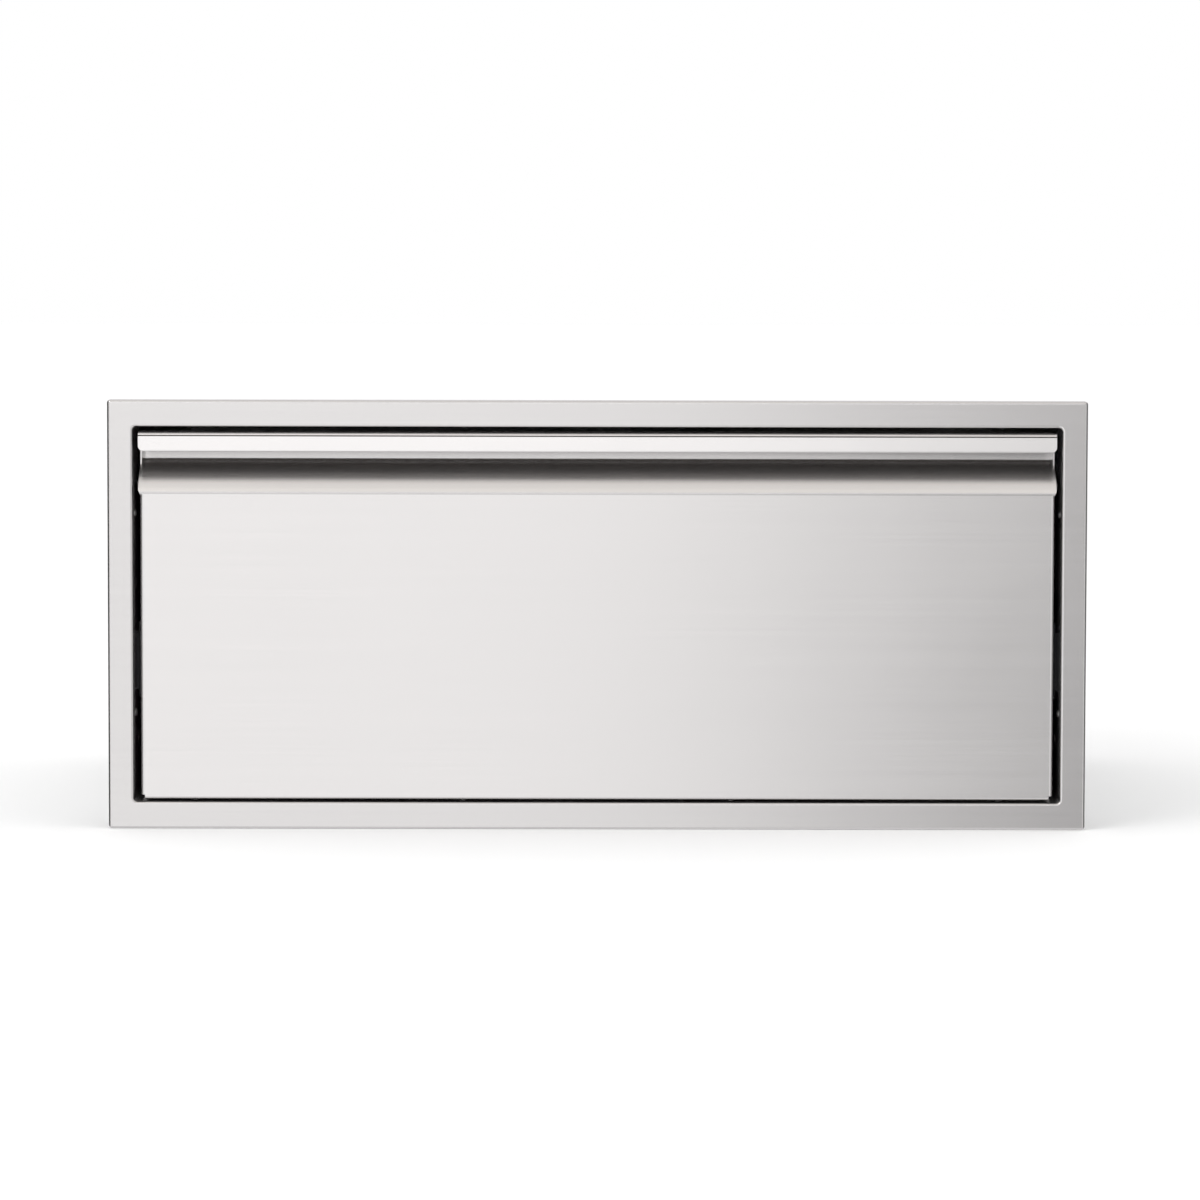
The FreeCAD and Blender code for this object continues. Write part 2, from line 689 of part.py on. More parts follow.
def make_channel(label, sign, web_u, tip_u, way, half_height, length):
    """A rail of the slide: a web at web_u with two flanges that reach towards tip_u."""
    body = new_piece(label)
    inside_bend = dim.rail_bend - dim.rail_sheet
    web_back = sign * (box_x + web_u)
    web_front = sign * (box_x + web_u + way * dim.rail_sheet)
    tip = sign * (box_x + tip_u)
    inner = half_height - dim.rail_sheet
    profile = front_sketch(body, "profile", slide_y)
    add_outline(profile, [
        (web_back, half_height, dim.rail_bend), (tip, half_height), (tip, inner),
        (web_front, inner, inside_bend), (web_front, -inner, inside_bend),
        (tip, -inner), (tip, -half_height), (web_back, -half_height, dim.rail_bend),
    ])
    pad(body, profile, length, backwards=True)
    set_slide_height(body)
    return body


def make_cage(label, sign, reach, level):
    """Two strips with a row of round holes, one above and one below the middle of the slide."""
    body = new_piece(label)
    half_side = ball_radius + dim.cage_side
    near = sign * (box_x + reach - half_side)
    far = sign * (box_x + reach + half_side)
    hole = ball_radius + dim.cage_hole_clearance
    for name, height in (("upper", level - dim.cage_sheet / 2), ("lower", -level - dim.cage_sheet / 2)):
        strip = plan_sketch(body, name, height)
        add_rectangle(strip, near, far, cage_y - dim.cage_length / 2, cage_y + dim.cage_length / 2)
        add_circles(strip, [(sign * (box_x + reach), y) for y in ball_ys()], hole)
        pad(body, strip, dim.cage_sheet)
    set_slide_height(body)


def ball_ys():
    count = int((dim.cage_length.value - dim.ball_pitch.value) / dim.ball_pitch.value) + 1
    return [cage_y + dim.ball_pitch * (number - (count - 1) / 2) for number in range(count)]


def make_slides():
    """Two full-extension slides, each of three nested rails with balls between them."""
    outer_level = cabinet_rail_z - dim.rail_sheet - ball_room / 2
    inner_level = middle_rail_z - dim.rail_sheet - ball_room / 2
    screw_places = [(y, 0) for y in rail_screw_ys]
    ball = doc.addObject("Part::Sphere", "ball_pattern")
    ball.setExpression("Radius", ball_radius.formula)
    doc.recompute()
    for side, sign in SIDES:
        strip = new_piece(f"{side}_slide_strip")
        strip_start = slide_y + dim.strip_margin
        strip_end = slide_y + slide_length - dim.strip_margin
        half_strip = dim.strip_height / 2
        corners = [
            (strip_start, -half_strip), (strip_end, -half_strip),
            (strip_end, half_strip), (strip_start, half_strip),
        ]
        side_slab(strip, "bar", sign, slide_x, dim.strip_thickness, corners, screw_places, screw_hole)
        set_slide_height(strip)
        cabinet = make_channel(
            f"{side}_cabinet_rail", sign, dim.slide_thickness, dim.cabinet_flange_gap, -1, cabinet_rail_z,
            slide_length,
        )
        bore(cabinet, "screw_holes", "YZ_Plane", screw_places, screw_hole)
        middle = make_channel(
            f"{side}_middle_rail", sign, middle_web_u, dim.middle_flange_gap, -1, middle_rail_z,
            moving_rail_length,
        )
        bore(middle, "access_holes", "YZ_Plane", screw_places, dim.access_hole_radius)
        drawer = make_channel(
            f"{side}_drawer_rail", sign, as_size(0), dim.drawer_flange_reach, 1, drawer_rail_z,
            moving_rail_length,
        )
        bore(drawer, "screw_holes", "YZ_Plane", screw_places, screw_hole)
        bore(drawer, "pivot_hole", "YZ_Plane", [(lever_y, 0)], dim.pivot_radius + dim.fastener_clearance)
        make_cage(f"{side}_outer_ball_cage", sign, dim.outer_ball_reach, outer_level)
        make_cage(f"{side}_inner_ball_cage", sign, dim.inner_ball_reach, inner_level)
        for ring, reach, level in (
            ("outer", dim.outer_ball_reach, outer_level), ("inner", dim.inner_ball_reach, inner_level),
        ):
            x = sign * (box_x + reach)
            places = [(x, y, way * level - dim.slide_drop) for y in ball_ys() for way in (-1, 1)]
            make_group(f"{side}_{ring}_balls", ball, [(place, (0, 0, 1)) for place in places])
        bumper = new_piece(f"{side}_slide_bumper")
        half_bumper = dim.bumper_height / 2
        block = front_sketch(bumper, "block", slide_y + slide_length - dim.bumper_length)
        bumper_sides = [sign * (box_x + dim.cabinet_flange_gap), sign * (box_x + cabinet_web_u)]
        add_rectangle(block, *bumper_sides[::sign], -half_bumper, half_bumper, dim.rail_bend)
        pad(bumper, block, dim.bumper_length, backwards=True)
        set_slide_height(bumper)
        lever = new_piece(f"{side}_release_lever")
        half_length = dim.lever_length / 2
        half_lever = dim.lever_height / 2
        corner = dim.lever_height / 3
        side_slab(lever, "bar", sign, box_x + lever_u, dim.lever_thickness, [
            (lever_y - half_length, -half_lever, corner), (lever_y + half_length, -half_lever, corner),
            (lever_y + half_length, half_lever, corner), (lever_y - half_length, half_lever, corner),
        ], [(lever_y, 0)], dim.pivot_radius + dim.pivot_clearance)
        set_slide_height(lever)


def make_fastener(name, shank_radius, shank_length, head_radius, head_height, head_round):
    """A pattern for a group: head above the seat at the origin, shank below it."""
    body = new_body(name)
    profile = new_sketch(body, "profile", "XZ_Plane")
    zero = as_size(0)
    add_outline(profile, [
        (zero, -shank_length), (shank_radius, -shank_length), (shank_radius, zero), (head_radius, zero),
        (head_radius, head_height, head_round), (zero, head_height),
    ])
    turn = body.newObject("PartDesign::Revolution", f"{name}_turn")
    turn.Profile = profile
    turn.ReferenceAxis = (profile, ["V_Axis"])
    turn.Angle = 360
    doc.recompute()
    return body


def make_group(label, pattern, places):
    """Separate copies of one pattern, each at a place with its head pointing along a direction."""
    shapes = []
    for place, direction in places:
        shape = pattern.Shape.copy()
        turn = FreeCAD.Rotation(FreeCAD.Vector(0, 0, 1), FreeCAD.Vector(*direction))
        shape.Placement = FreeCAD.Placement(vector(*place), turn)
        shapes.append(shape)
    group = doc.addObject("Part::Feature", label)
    group.Label = label
    group.Shape = Part.makeCompound(shapes)
    group.Placement = FreeCAD.Placement()
    pieces.append(group)


def make_fasteners():
    """Rivets of the jamb and of the drawer box, screws of the front and of the rails, lever pivots."""
    rivet_head = (dim.rivet_head_radius, dim.rivet_head_height, dim.rivet_head_round)
    screw_head = (dim.screw_head_radius, dim.screw_head_height, dim.screw_head_round)
    jamb_grip = dim.frame_sheet + dim.housing_sheet
    jamb_rivet = make_fastener("jamb_rivet_pattern", dim.rivet_radius, jamb_grip, *rivet_head)
    places = []
    for sign in (-1, 1):
        places += [((sign * window_x, y, z), (-sign, 0, 0)) for y, z in side_rivet_places()]
        places += [((x, y, sign * window_z), (0, 0, -sign)) for x, y in edge_rivet_places()]
    make_group("jamb_rivets", jamb_rivet, places)
    box_rivet = make_fastener("box_rivet_pattern", dim.rivet_radius, 2 * dim.box_sheet, *rivet_head)
    places = [((sign * box_x, y, z), (sign, 0, 0)) for sign in (-1, 1) for y, z in box_rivet_places()]
    make_group("drawer_box_rivets", box_rivet, places)
    front_grip = dim.box_sheet + dim.inner_sheet + dim.screw_tip
    front_screw = make_fastener("front_screw_pattern", dim.screw_radius, front_grip, *screw_head)
    places = [((x, shell_start_y, z), (0, 1, 0)) for x, z in front_screw_places]
    make_group("front_screws", front_screw, places)
    cabinet_grip = dim.rail_sheet + dim.strip_thickness
    cabinet_screw = make_fastener("cabinet_screw_pattern", dim.screw_radius, cabinet_grip, *screw_head)
    cabinet_seat = box_x + cabinet_web_u
    places = [
        ((sign * cabinet_seat, y, -dim.slide_drop), (-sign, 0, 0)) for sign in (-1, 1) for y in rail_screw_ys
    ]
    make_group("cabinet_rail_screws", cabinet_screw, places)
    drawer_grip = dim.rail_sheet + dim.box_sheet
    drawer_screw = make_fastener("drawer_screw_pattern", dim.screw_radius, drawer_grip, *screw_head)
    drawer_seat = box_x + dim.rail_sheet
    places = [
        ((sign * drawer_seat, y, -dim.slide_drop), (sign, 0, 0)) for sign in (-1, 1) for y in rail_screw_ys
    ]
    make_group("drawer_rail_screws", drawer_screw, places)
    pivot = make_fastener(
        "pivot_pattern", dim.pivot_radius, pivot_seat_u, dim.pivot_head_radius, dim.pivot_head_height,
        dim.pivot_head_height / 2,
    )
    places = [((sign * (box_x + pivot_seat_u), lever_y, -dim.slide_drop), (sign, 0, 0)) for sign in (-1, 1)]
    make_group("lever_pivots", pivot, places)


def check_document():
    """Stop if anything failed, if a cut removed nothing or if a piece has no sound shape."""
    for item in doc.Objects:
        if "Invalid" in item.State or "Error" in item.State:
            raise RuntimeError(f"{item.Label} is {item.State}")
        if item.TypeId == "PartDesign::Pocket" and item.Shape.Volume > item.BaseFeature.Shape.Volume - 1e-3:
            raise RuntimeError(f"{item.Label} cuts nothing")
    for piece in pieces:
        if piece.Shape.isNull() or not piece.Shape.isValid():
            raise RuntimeError(f"{piece.Label} has no sound shape")


make_face_frame()
make_housing()
make_front_skin()
make_end_caps()
make_inner_panel()
make_drawer_box()
make_slides()
make_fasteners()
doc.recompute()
check_document()

os.makedirs("parts", exist_ok=True)
for piece in pieces:
    piece.Shape.exportStep(f"parts/{piece.Label}.step")
    print(piece.Label, len(piece.Shape.Solids), round(piece.Shape.Volume, 1))
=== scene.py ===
# %% [markdown]
# # A built-in storage drawer in brushed stainless steel
# The construction model already holds every sheet, rail and fastener at its real size. This lesson
# dresses it: it gives each metal its finish, makes the small fasteners in detail and sets up a plain
# studio. Everything stays in the construction model's own frame, in metres, with +Z up and the drawer
# front facing -Y.

# %% Load the construction model
import json
import math

import bmesh
import bpy
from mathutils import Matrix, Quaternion, Vector


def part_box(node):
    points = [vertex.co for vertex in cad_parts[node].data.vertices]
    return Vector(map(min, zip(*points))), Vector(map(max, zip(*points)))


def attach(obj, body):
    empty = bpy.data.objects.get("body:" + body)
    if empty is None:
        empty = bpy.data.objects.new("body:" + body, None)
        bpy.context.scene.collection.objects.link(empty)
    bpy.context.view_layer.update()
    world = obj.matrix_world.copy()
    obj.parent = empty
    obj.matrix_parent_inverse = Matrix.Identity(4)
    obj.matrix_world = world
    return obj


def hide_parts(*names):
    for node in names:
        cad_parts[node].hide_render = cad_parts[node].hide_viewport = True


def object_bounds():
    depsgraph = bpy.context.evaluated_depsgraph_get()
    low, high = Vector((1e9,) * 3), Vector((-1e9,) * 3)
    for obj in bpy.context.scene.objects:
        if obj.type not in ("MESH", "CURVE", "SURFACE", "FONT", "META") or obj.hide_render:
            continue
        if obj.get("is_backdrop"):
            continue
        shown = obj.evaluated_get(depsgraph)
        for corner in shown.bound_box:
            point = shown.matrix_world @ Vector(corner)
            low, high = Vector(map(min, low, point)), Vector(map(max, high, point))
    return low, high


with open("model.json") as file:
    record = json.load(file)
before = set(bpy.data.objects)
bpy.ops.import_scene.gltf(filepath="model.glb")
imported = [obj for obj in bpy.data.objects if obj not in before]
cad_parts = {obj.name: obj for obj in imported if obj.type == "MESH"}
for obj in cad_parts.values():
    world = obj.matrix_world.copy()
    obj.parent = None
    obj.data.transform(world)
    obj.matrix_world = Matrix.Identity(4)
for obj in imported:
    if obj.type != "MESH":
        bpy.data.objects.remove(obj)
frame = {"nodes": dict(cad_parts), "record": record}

scene = bpy.context.scene
nodes = frame["nodes"]
slot_of_node = {item["node"]: item["material_slot"] for item in frame["record"]["subparts"]}
cad_low, cad_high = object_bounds()
print("construction model:", len(nodes), "nodes, size", [round(edge, 4) for edge in cad_high - cad_low])

# %% [markdown]
# ## A short way to place shader and geometry nodes
# A node tree is a list of nodes, their settings and the links between their sockets. One helper that
# takes a value or another node's output for each input keeps the later cells close to the idea of each
# finish.


# %% Helper that places a node
def put(tree, kind, inputs=None, **settings):
    """Add a node, apply its settings, then fill each input with a value or a link."""
    made = tree.nodes.new(kind)
    for setting, value in settings.items():
        setattr(made, setting, value)
    for name, value in (inputs or {}).items():
        if isinstance(value, bpy.types.NodeSocket):
            tree.links.new(value, made.inputs[name])
        else:
            made.inputs[name].default_value = value
    return made


def new_group(name, kind, inputs, outputs):
    """Start a node group with named inputs (name, socket type, default) and outputs (name, socket type)."""
    tree = bpy.data.node_groups.new(name, kind)
    for label, socket_type, default in inputs:
        socket = tree.interface.new_socket(label, in_out="INPUT", socket_type=socket_type)
        if default is not None:
            socket.default_value = default
    for label, socket_type in outputs:
        tree.interface.new_socket(label, in_out="OUTPUT", socket_type=socket_type)
    return tree, tree.nodes.new("NodeGroupInput").outputs, tree.nodes.new("NodeGroupOutput")


def finish_group(tree, result, outputs):
    for label, socket in outputs.items():
        tree.links.new(socket, result.inputs[label])


print("node helpers ready")

# %% [markdown]
# ## Brush marks
# Stainless sheet of this kind is drawn past an abrasive belt. The belt leaves thousands of fine lines
# that run one way, each a fraction of a millimetre wide and many centimetres long. A noise texture that
# is stretched along the lines gives them. Two sizes of it, one fine and one broad, keep the pattern
# from looking regular.

# %% Shader group for brush marks
brush_marks, marks_in, marks_out = new_group(
    "brush_marks", "ShaderNodeTree",
    [("Stretch", "NodeSocketVector", (6.0, 1400.0, 1400.0)), ("Broad Share", "NodeSocketFloat", 0.4)],
    [("Marks", "NodeSocketFloat"), ("Fine", "NodeSocketFloat")],
)
BROAD_SCALE = 0.17
place = put(brush_marks, "ShaderNodeTexCoord").outputs["Object"]
fine_place = put(brush_marks, "ShaderNodeVectorMath", {0: place, 1: marks_in["Stretch"]},
                 operation="MULTIPLY").outputs[0]
fine = put(brush_marks, "ShaderNodeTexNoise", {
    "Vector": fine_place, "Scale": 1.0, "Detail": 3.0, "Roughness": 0.6,
})
broad_place = put(brush_marks, "ShaderNodeVectorMath", {0: fine_place, "Scale": BROAD_SCALE},
                  operation="SCALE")
broad = put(brush_marks, "ShaderNodeTexNoise", {
    "Vector": broad_place.outputs[0], "Scale": 1.0, "Detail": 2.0, "Roughness": 0.5,
})
both = put(brush_marks, "ShaderNodeMix", {
    0: marks_in["Broad Share"], 2: fine.outputs[0], 3: broad.outputs[0],
}, data_type="FLOAT")
finish_group(brush_marks, marks_out, {"Marks": both.outputs[0], "Fine": fine.outputs[0]})
print("shader group:", brush_marks.name)

# %% [markdown]
# ## Softened edges
# No sheet edge is perfectly sharp: it is deburred, and handling polishes it a little. The Bevel node
# rounds the shading normal near an edge without new geometry. Where the rounded normal leaves the true
# one, the group puts out an edge mask, which the finishes use for a slightly brighter rim.

# %% Shader group for softened edges
softened_edges, edges_in, edges_out = new_group(
    "softened_edges", "ShaderNodeTree",
    [("Radius", "NodeSocketFloat", 0.0004)],
    [("Normal", "NodeSocketVector"), ("Edge", "NodeSocketFloat")],
)
rounded = put(softened_edges, "ShaderNodeBevel", {"Radius": edges_in["Radius"]}, samples=6)
true_normal = put(softened_edges, "ShaderNodeNewGeometry").outputs["Normal"]
facing_same = put(softened_edges, "ShaderNodeVectorMath", {0: rounded.outputs[0], 1: true_normal},
                  operation="DOT_PRODUCT")
edge_mask = put(softened_edges, "ShaderNodeMapRange", {
    "Value": facing_same.outputs["Value"], "From Min": 0.995, "From Max": 0.85, "To Min": 0.0, "To Max": 1.0,
})
finish_group(softened_edges, edges_out, {"Normal": rounded.outputs[0], "Edge": edge_mask.outputs[0]})
print("shader group:", softened_edges.name)

# %% [markdown]
# ## Handling clouds
# Rolled sheet is never evenly bright: the rolling, the cleaning and a few wiped finger marks leave soft
# patches some centimetres wide. A slow noise gives a value that moves the roughness by a few
# hundredths.

# %% Shader group for handling clouds
handling_clouds, clouds_in, clouds_out = new_group(
    "handling_clouds", "ShaderNodeTree",
    [("Patches per Metre", "NodeSocketFloat", 7.0)],
    [("Cloud", "NodeSocketFloat")],
)
place = put(handling_clouds, "ShaderNodeTexCoord").outputs["Object"]
patches = put(handling_clouds, "ShaderNodeTexNoise", {
    "Vector": place, "Scale": clouds_in["Patches per Metre"], "Detail": 4.0, "Roughness": 0.55,
    "Distortion": 0.4,
})
finish_group(handling_clouds, clouds_out, {"Cloud": patches.outputs[0]})
print("shader group:", handling_clouds.name)

# %% [markdown]
# ## Painted shade and a dark seam on the drawer front
# The inside of the fold behind the pull lip is painted darker: this is painted shade for the recess,
# so the finger pull looks dark where it mirrors it. On the front of the lip a fine dark seam runs just
# below the top, where the edge of the upper sheet meets the lip. A narrow line along the bend at the foot
# of the ramp is painted darker as well, as painted shade in the crease. All three are boxes in the
# object's own coordinates, so one group that marks a box serves for all.

# %% Shader group that marks a box
boxed_area, area_in, area_out = new_group(
    "boxed_area", "ShaderNodeTree",
    [("Low Edge", "NodeSocketFloat", 0.0), ("High Edge", "NodeSocketFloat", 1.0),
     ("Front Edge", "NodeSocketFloat", 0.0), ("Back Edge", "NodeSocketFloat", 1.0)],
    [("Inside", "NodeSocketFloat")],
)
place = put(boxed_area, "ShaderNodeTexCoord").outputs["Object"]
spot = put(boxed_area, "ShaderNodeSeparateXYZ", {0: place}).outputs
inside = None
for axis, edge, side in (("Z", "Low Edge", "GREATER_THAN"), ("Z", "High Edge", "LESS_THAN"),
                         ("Y", "Front Edge", "GREATER_THAN"), ("Y", "Back Edge", "LESS_THAN")):
    test = put(boxed_area, "ShaderNodeMath", {0: spot[axis], 1: area_in[edge]}, operation=side).outputs[0]
    if inside:
        test = put(boxed_area, "ShaderNodeMath", {0: inside, 1: test}, operation="MULTIPLY").outputs[0]
    inside = test
finish_group(boxed_area, area_out, {"Inside": inside})
print("shader group:", boxed_area.name)

# %% [markdown]
# ## The metal finishes
# All the metals share one recipe: brush or roll marks change the colour and the roughness a little,
# clouds change the roughness slowly, and the edge mask brightens the rims. Brushed metal mirrors in a
# special way: it blurs much more across the marks than along them. The anisotropic input does that, and
# it needs a tangent across the marks. The cross product of the surface normal and the direction of the
# marks gives one, also round the bends. The flange and the front are belt brushed, the housing and the
# drawer box keep their plain mill finish, and the slides are black zinc, which stays dark in the narrow
# gaps beside the front.


# %% Recipe for a marked metal
ALONG_X, ALONG_Y, ALONG_Z = 0, 1, 2
MARK_DEPTH = 0.00004
RIM_GAIN = 1.16


def marked_metal(name, dark, light, roughness, marks_along, fine_per_metre, anisotropy, relief, edge_radius,
                 rough_swing=0.06, long_per_metre=6.0, metallic=0.92, dark_boxes=()):
    """A metal with marks along one axis, which move its colour between dark and light.

    Each dark box is (low, high, front, back, colour) in metres.
    """
    material = bpy.data.materials.new(name)
    material.use_nodes = True
    tree = material.node_tree
    surface = tree.nodes["Principled BSDF"]
    stretch = [fine_per_metre] * 3
    stretch[marks_along] = long_per_metre
    marks = put(tree, "ShaderNodeGroup", node_tree=brush_marks)
    marks.inputs["Stretch"].default_value = stretch
    edges = put(tree, "ShaderNodeGroup", node_tree=softened_edges)
    edges.inputs["Radius"].default_value = edge_radius
    clouds = put(tree, "ShaderNodeGroup", node_tree=handling_clouds)
    marked = put(tree, "ShaderNodeMix", {0: marks.outputs["Marks"], 6: (*dark, 1), 7: (*light, 1)},
                 data_type="RGBA", clamp_factor=True)
    rim_share = put(tree, "ShaderNodeMath", {0: edges.outputs["Edge"], 1: 0.5}, operation="MULTIPLY")
    rim = [min(1.0, part * RIM_GAIN) for part in light]
    coloured = put(tree, "ShaderNodeMix", {0: rim_share.outputs[0], 6: marked.outputs[2], 7: (*rim, 1)},
                   data_type="RGBA")
    for low, high, front, back, colour in dark_boxes:
        area = put(tree, "ShaderNodeGroup", node_tree=boxed_area)
        limits = {"Low Edge": low, "High Edge": high, "Front Edge": front, "Back Edge": back}
        for edge, value in limits.items():
            area.inputs[edge].default_value = value
        coloured = put(tree, "ShaderNodeMix", {
            0: area.outputs["Inside"], 6: coloured.outputs[2], 7: (*colour, 1),
        }, data_type="RGBA")
    uneven = put(tree, "ShaderNodeMix", {0: 0.5, 2: marks.outputs["Marks"], 3: clouds.outputs["Cloud"]},
                 data_type="FLOAT")
    rough = put(tree, "ShaderNodeMapRange", {
        "Value": uneven.outputs[0], "From Min": 0.3, "From Max": 0.7,
        "To Min": roughness - rough_swing, "To Max": roughness + rough_swing,
    })
    bump = put(tree, "ShaderNodeBump", {
        "Strength": relief, "Distance": MARK_DEPTH, "Height": marks.outputs["Fine"],
        "Normal": edges.outputs["Normal"],
    })
    mark_direction = [0.0, 0.0, 0.0]
    mark_direction[marks_along] = 1.0
    normal = put(tree, "ShaderNodeNewGeometry").outputs["Normal"]
    across = put(tree, "ShaderNodeVectorMath", {0: normal, 1: mark_direction}, operation="CROSS_PRODUCT")
    fallback = (0.0, 0.01, 0.0) if marks_along == ALONG_Z else (0.0, 0.0, 0.01)
    tangent = put(tree, "ShaderNodeVectorMath", {0: across.outputs[0], 1: fallback}, operation="ADD")
    for name_of_input, socket in (
        ("Base Color", coloured.outputs[2]), ("Roughness", rough.outputs[0]),
        ("Normal", bump.outputs[0]), ("Tangent", tangent.outputs[0]),
    ):
        tree.links.new(socket, surface.inputs[name_of_input])
    surface.inputs["Metallic"].default_value = metallic
    surface.inputs["Anisotropic"].default_value = anisotropy
    return material


# %% The metals of the drawer
# painted shade: the inside of the fold behind the pull lip is painted darker, as shade in the recess
FOLD_PAINTED_SHADE = (0.1275, 0.1412, -0.0085, 0.03, (0.17, 0.155, 0.145))
LIP_SEAM = (0.1388, 0.1397, -0.02, -0.0085, (0.06, 0.055, 0.052))
# painted shade: a narrow line along the bend at the foot of the ramp is painted darker, as shade in the
# crease
RAMP_BEND_PAINTED_SHADE = (0.0938, 0.0955, -0.0125, -0.0105, (0.49, 0.478, 0.475))
belt_brushed = {
    "roughness": 0.235, "marks_along": ALONG_X, "fine_per_metre": 1500, "anisotropy": 0.78, "relief": 0.10,
    "edge_radius": 0.0003, "rough_swing": 0.03,
}
finishes = {
    "frame_brushed_steel": marked_metal(
        "frame_brushed_steel", (0.55, 0.536, 0.534), (0.605, 0.590, 0.588), **belt_brushed),
    "front_brushed_steel": marked_metal(
        "front_brushed_steel", (0.605, 0.590, 0.587), (0.665, 0.648, 0.645), **belt_brushed,
        dark_boxes=[FOLD_PAINTED_SHADE, LIP_SEAM, RAMP_BEND_PAINTED_SHADE]),
    "mill_finish_steel": marked_metal(
        "mill_finish_steel", (0.50, 0.50, 0.50), (0.58, 0.58, 0.578), roughness=0.40, marks_along=ALONG_Y,
        fine_per_metre=500, anisotropy=0.35, relief=0.05, edge_radius=0.0003, rough_swing=0.07,
        metallic=0.78),
    "rail_steel": marked_metal(
        "rail_steel", (0.07, 0.07, 0.075), (0.095, 0.095, 0.10), roughness=0.38, marks_along=ALONG_Y,
        fine_per_metre=900, anisotropy=0.4, relief=0.08, edge_radius=0.0002),
    "cage_steel": marked_metal(
        "cage_steel", (0.42, 0.415, 0.40), (0.52, 0.515, 0.50), roughness=0.42, marks_along=ALONG_Y,
        fine_per_metre=700, anisotropy=0.2, relief=0.08, edge_radius=0.0001),
    "bearing_steel": marked_metal(
        "bearing_steel", (0.66, 0.665, 0.67), (0.72, 0.725, 0.73), roughness=0.12, marks_along=ALONG_X,
        fine_per_metre=400, anisotropy=0.0, relief=0.0, edge_radius=0.0001, rough_swing=0.03),
    "fastener_steel": marked_metal(
        "fastener_steel", (0.52, 0.52, 0.515), (0.62, 0.62, 0.615), roughness=0.34, marks_along=ALONG_X,
        fine_per_metre=900, anisotropy=0.0, relief=0.05, edge_radius=0.0002),
}
print("metal finishes:", ", ".join(finishes))

# %% [markdown]
# ## Rubber and moulded plastic
# The bumpers at the back of the slides are matt moulded rubber, and the release levers are black
# plastic from a finely eroded mould. Both are almost black, so their character is in the fine grain: a
# cell noise for the mould texture and a slow dusting that lifts the colour in patches.


# %% Recipe for a moulded black piece
GRAIN_DEPTH = 0.0001
DUST_PATCHES_PER_METRE = 120.0
DUST_ROUGH_SWING = 0.06


def moulded(name, dark, light, roughness, grains_per_metre, relief):
    material = bpy.data.materials.new(name)
    material.use_nodes = True
    tree = material.node_tree
    surface = tree.nodes["Principled BSDF"]
    place = put(tree, "ShaderNodeTexCoord").outputs["Object"]
    grain = put(tree, "ShaderNodeTexVoronoi", {"Vector": place, "Scale": grains_per_metre})
    clouds = put(tree, "ShaderNodeGroup", node_tree=handling_clouds)
    clouds.inputs["Patches per Metre"].default_value = DUST_PATCHES_PER_METRE
    edges = put(tree, "ShaderNodeGroup", node_tree=softened_edges)
    coloured = put(tree, "ShaderNodeMix", {0: clouds.outputs["Cloud"], 6: (*dark, 1), 7: (*light, 1)},
                   data_type="RGBA")
    rough = put(tree, "ShaderNodeMapRange", {
        "Value": clouds.outputs["Cloud"], "From Min": 0.3, "From Max": 0.7,
        "To Min": roughness - DUST_ROUGH_SWING, "To Max": roughness + DUST_ROUGH_SWING,
    })
    bump = put(tree, "ShaderNodeBump", {
        "Strength": relief, "Distance": GRAIN_DEPTH, "Height": grain.outputs["Distance"],
        "Normal": edges.outputs["Normal"],
    })
    tree.links.new(coloured.outputs[2], surface.inputs["Base Color"])
    tree.links.new(rough.outputs[0], surface.inputs["Roughness"])
    tree.links.new(bump.outputs[0], surface.inputs["Normal"])
    return material


finishes["black_rubber"] = moulded(
    "black_rubber", (0.018, 0.018, 0.018), (0.045, 0.044, 0.043), roughness=0.78, grains_per_metre=2600,
    relief=0.5)
finishes["black_plastic"] = moulded(
    "black_plastic", (0.02, 0.02, 0.021), (0.04, 0.04, 0.041), roughness=0.48, grains_per_metre=4200,
    relief=0.35)
print("moulded finishes: black_rubber, black_plastic")

# %% [markdown]
# ## Give the construction nodes their finishes
# The sheets and rails already have the right shape, with smooth bends, so they stay and only change
# material. The record names a material slot for each node, and each slot has one finish here.

# %% Dress the construction nodes
for name, node in nodes.items():
    node.data.materials.clear()
    node.data.materials.append(finishes[slot_of_node[name]])
print("dressed", len(nodes), "construction nodes")

# %% [markdown]
# ## Where the fasteners sit
# A fastener in the construction model is a plain turned shape. To put a detailed one in the same place,
# the script splits a node into its separate solids and reads each one: two sides of its box are equal,
# and the third is the axis. The widest ring of points is the head, so its end of the axis is where the
# head faces.


# %% Read the seat of every fastener
SAME_PLACE = 1e-6
RIM_SHARE = 0.98


def solids_of(node_name):
    """The corner points of each separate solid in a node."""
    shell = bmesh.new()
    shell.from_mesh(nodes[node_name].data)
    bmesh.ops.remove_doubles(shell, verts=shell.verts, dist=SAME_PLACE)
    waiting = set(shell.verts)
    solids = []
    for first in shell.verts:
        if first not in waiting:
            continue
        waiting.remove(first)
        edge_of_fill = [first]
        found = []
        while edge_of_fill:
            point = edge_of_fill.pop()
            found.append(point.co.copy())
            for edge in point.link_edges:
                other = edge.other_vert(point)
                if other in waiting:
                    waiting.remove(other)
                    edge_of_fill.append(other)
        solids.append(found)
    shell.free()
    return solids


def box_of(points):
    low = Vector([min(point[axis] for point in points) for axis in range(3)])
    high = Vector([max(point[axis] for point in points) for axis in range(3)])
    return low, high


